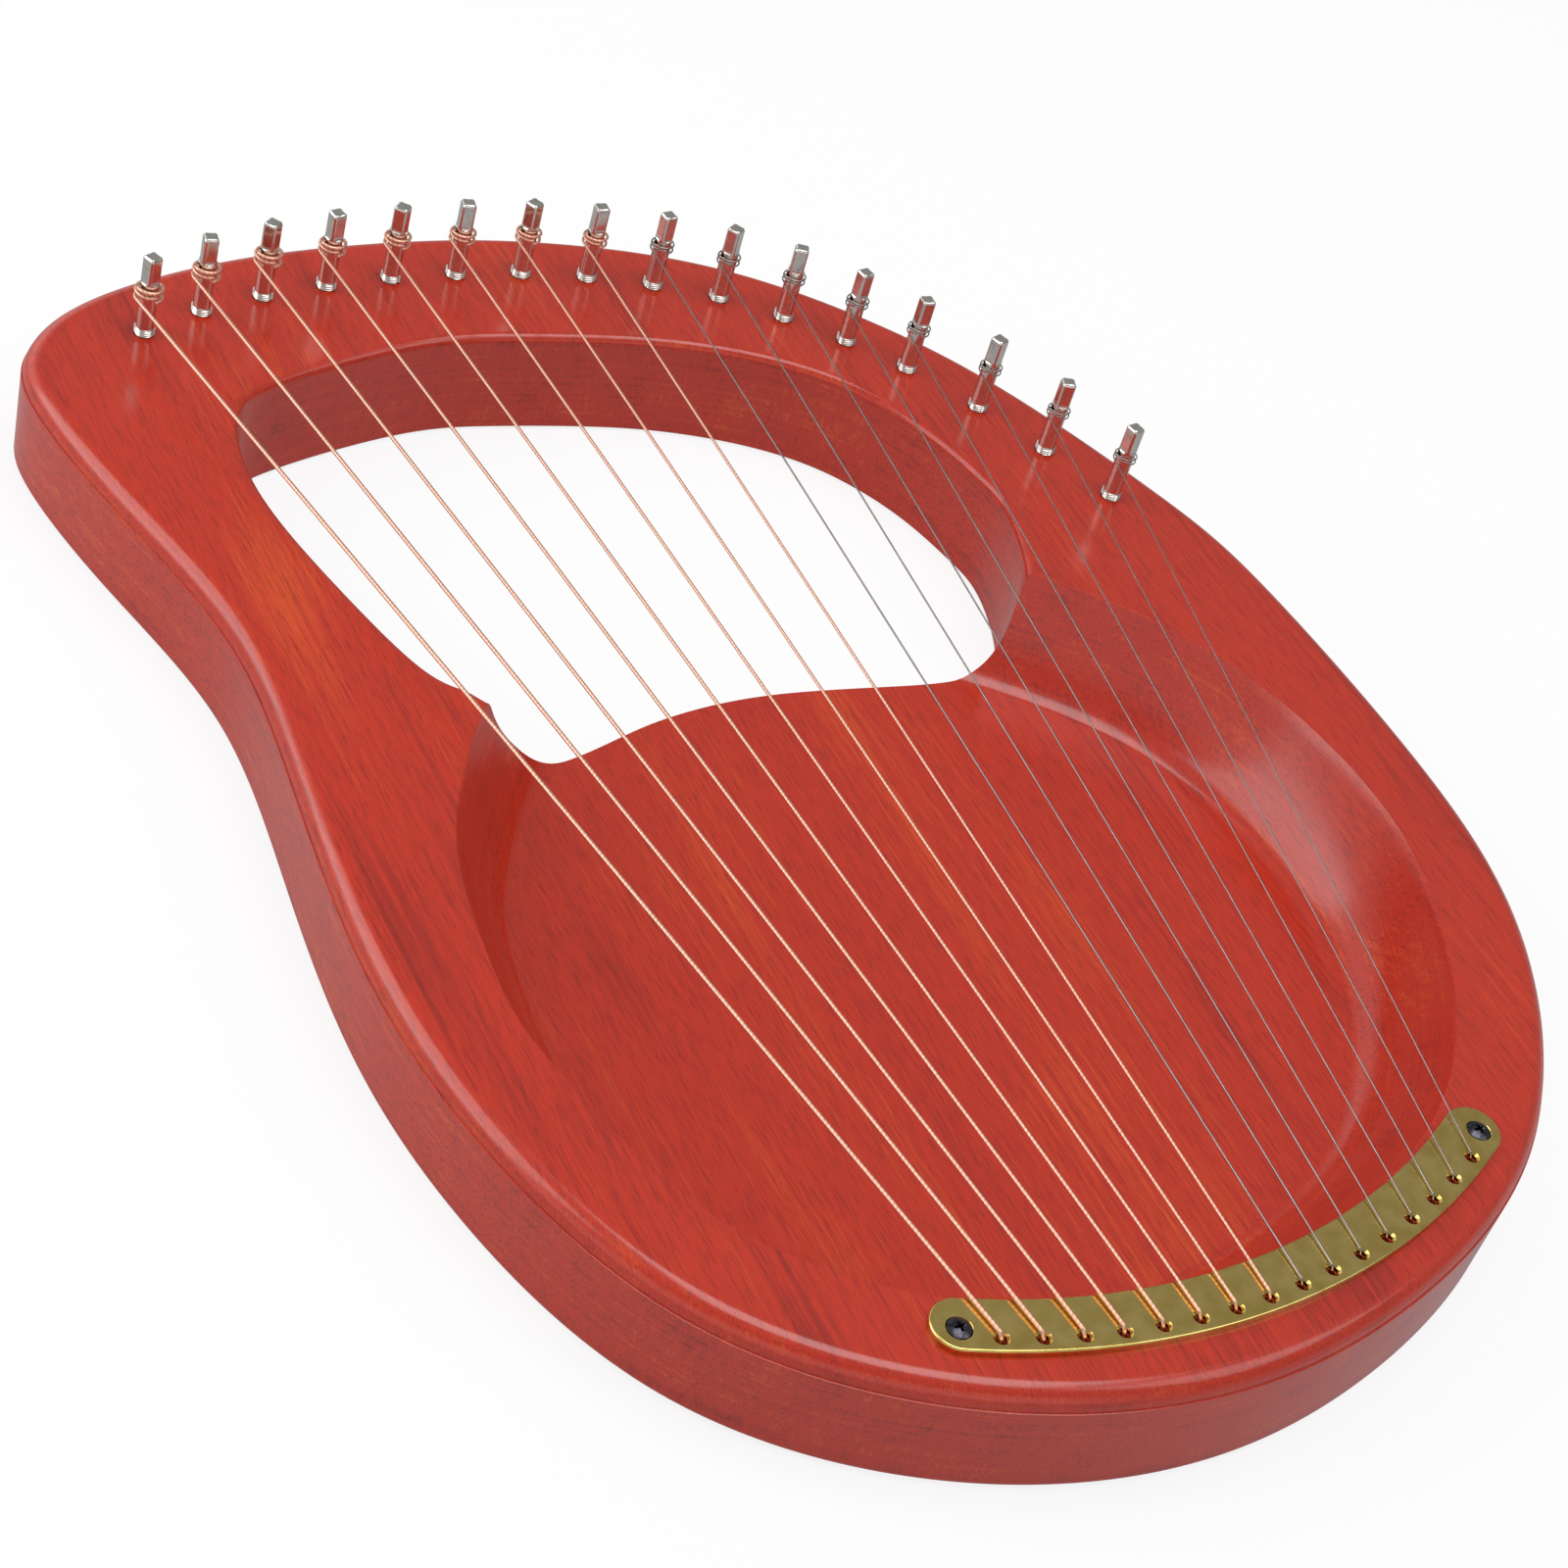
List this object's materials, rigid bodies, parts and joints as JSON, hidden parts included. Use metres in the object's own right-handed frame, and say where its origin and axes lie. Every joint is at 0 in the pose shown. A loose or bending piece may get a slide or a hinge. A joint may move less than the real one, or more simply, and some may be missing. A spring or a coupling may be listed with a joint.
{
  "type": "lyre harp",
  "caption": "Small lap lyre harp: carved hardwood body with a hand opening, ball-end strings over a tail plate, each wound on its own tuning pin.",
  "frame": {"origin": "under the middle of the body, on the flat back it rests on", "axes": "+X across the strings from bass to treble, +Y from the tail to the yoke, +Z out of the face"},
  "size_m": [0.3137, 0.4206, 0.0565],
  "materials": {
    "wood": "red-brown mahogany under satin lacquer",
    "brass": "satin brass, bevelled edge",
    "black_steel": "blackened screw steel",
    "pin_steel": "nickel-plated steel",
    "bronze_string": "bronze-wound string",
    "steel_string": "plain drawn steel wire"
  },
  "bodies": {
    "root": {"body": "wood", "tail_plate": "brass", "plate_screw_bass": "black_steel", "plate_screw_treble": "black_steel", "string_01": "bronze_string", "string_02": "bronze_string", "string_03": "bronze_string", "string_04": "bronze_string", "string_05": "bronze_string", "string_06": "bronze_string", "string_07": "bronze_string", "string_08": "bronze_string", "string_09": "steel_string", "string_10": "steel_string", "string_11": "steel_string", "string_12": "steel_string", "string_13": "steel_string", "string_14": "steel_string", "string_15": "steel_string", "string_16": "steel_string"},
    "pin_01": {"tuning_pin_01": "pin_steel", "string_winding_01": "bronze_string"},
    "pin_02": {"tuning_pin_02": "pin_steel", "string_winding_02": "bronze_string"},
    "pin_03": {"tuning_pin_03": "pin_steel", "string_winding_03": "bronze_string"},
    "pin_04": {"tuning_pin_04": "pin_steel", "string_winding_04": "bronze_string"},
    "pin_05": {"tuning_pin_05": "pin_steel", "string_winding_05": "bronze_string"},
    "pin_06": {"tuning_pin_06": "pin_steel", "string_winding_06": "bronze_string"},
    "pin_07": {"tuning_pin_07": "pin_steel", "string_winding_07": "bronze_string"},
    "pin_08": {"tuning_pin_08": "pin_steel", "string_winding_08": "bronze_string"},
    "pin_09": {"tuning_pin_09": "pin_steel", "string_winding_09": "steel_string"},
    "pin_10": {"tuning_pin_10": "pin_steel", "string_winding_10": "steel_string"},
    "pin_11": {"tuning_pin_11": "pin_steel", "string_winding_11": "steel_string"},
    "pin_12": {"tuning_pin_12": "pin_steel", "string_winding_12": "steel_string"},
    "pin_13": {"tuning_pin_13": "pin_steel", "string_winding_13": "steel_string"},
    "pin_14": {"tuning_pin_14": "pin_steel", "string_winding_14": "steel_string"},
    "pin_15": {"tuning_pin_15": "pin_steel", "string_winding_15": "steel_string"},
    "pin_16": {"tuning_pin_16": "pin_steel", "string_winding_16": "steel_string"}
  },
  "joints": [
    {"name": "tune_01", "type": "hinge", "parent": "root", "child": "pin_01", "pos_m": [-0.1208, 0.17523, 0.032], "axis": [0, 0, -1], "range_deg": [-360, 45]},
    {"name": "tune_02", "type": "hinge", "parent": "root", "child": "pin_02", "pos_m": [-0.10253, 0.18218, 0.032], "axis": [0, 0, -1], "range_deg": [-360, 45]},
    {"name": "tune_03", "type": "hinge", "parent": "root", "child": "pin_03", "pos_m": [-0.08347, 0.18654, 0.032], "axis": [0, 0, -1], "range_deg": [-360, 45]},
    {"name": "tune_04", "type": "hinge", "parent": "root", "child": "pin_04", "pos_m": [-0.06406, 0.18886, 0.032], "axis": [0, 0, -1], "range_deg": [-360, 45]},
    {"name": "tune_05", "type": "hinge", "parent": "root", "child": "pin_05", "pos_m": [-0.04453, 0.18969, 0.032], "axis": [0, 0, -1], "range_deg": [-360, 45]},
    {"name": "tune_06", "type": "hinge", "parent": "root", "child": "pin_06", "pos_m": [-0.02498, 0.1893, 0.032], "axis": [0, 0, -1], "range_deg": [-360, 45]},
    {"name": "tune_07", "type": "hinge", "parent": "root", "child": "pin_07", "pos_m": [-0.00555, 0.18717, 0.032], "axis": [0, 0, -1], "range_deg": [-360, 45]},
    {"name": "tune_08", "type": "hinge", "parent": "root", "child": "pin_08", "pos_m": [0.01355, 0.18298, 0.032], "axis": [0, 0, -1], "range_deg": [-360, 45]},
    {"name": "tune_09", "type": "hinge", "parent": "root", "child": "pin_09", "pos_m": [0.03212, 0.17686, 0.032], "axis": [0, 0, -1], "range_deg": [-360, 45]},
    {"name": "tune_10", "type": "hinge", "parent": "root", "child": "pin_10", "pos_m": [0.04966, 0.16823, 0.032], "axis": [0, 0, -1], "range_deg": [-360, 45]},
    {"name": "tune_11", "type": "hinge", "parent": "root", "child": "pin_11", "pos_m": [0.06546, 0.15673, 0.032], "axis": [0, 0, -1], "range_deg": [-360, 45]},
    {"name": "tune_12", "type": "hinge", "parent": "root", "child": "pin_12", "pos_m": [0.07959, 0.14321, 0.032], "axis": [0, 0, -1], "range_deg": [-360, 45]},
    {"name": "tune_13", "type": "hinge", "parent": "root", "child": "pin_13", "pos_m": [0.09222, 0.12828, 0.032], "axis": [0, 0, -1], "range_deg": [-360, 45]},
    {"name": "tune_14", "type": "hinge", "parent": "root", "child": "pin_14", "pos_m": [0.10519, 0.10798, 0.032], "axis": [0, 0, -1], "range_deg": [-360, 45]},
    {"name": "tune_15", "type": "hinge", "parent": "root", "child": "pin_15", "pos_m": [0.11578, 0.08632, 0.032], "axis": [0, 0, -1], "range_deg": [-360, 45]},
    {"name": "tune_16", "type": "hinge", "parent": "root", "child": "pin_16", "pos_m": [0.12513, 0.06411, 0.032], "axis": [0, 0, -1], "range_deg": [-360, 45]}
  ]
}
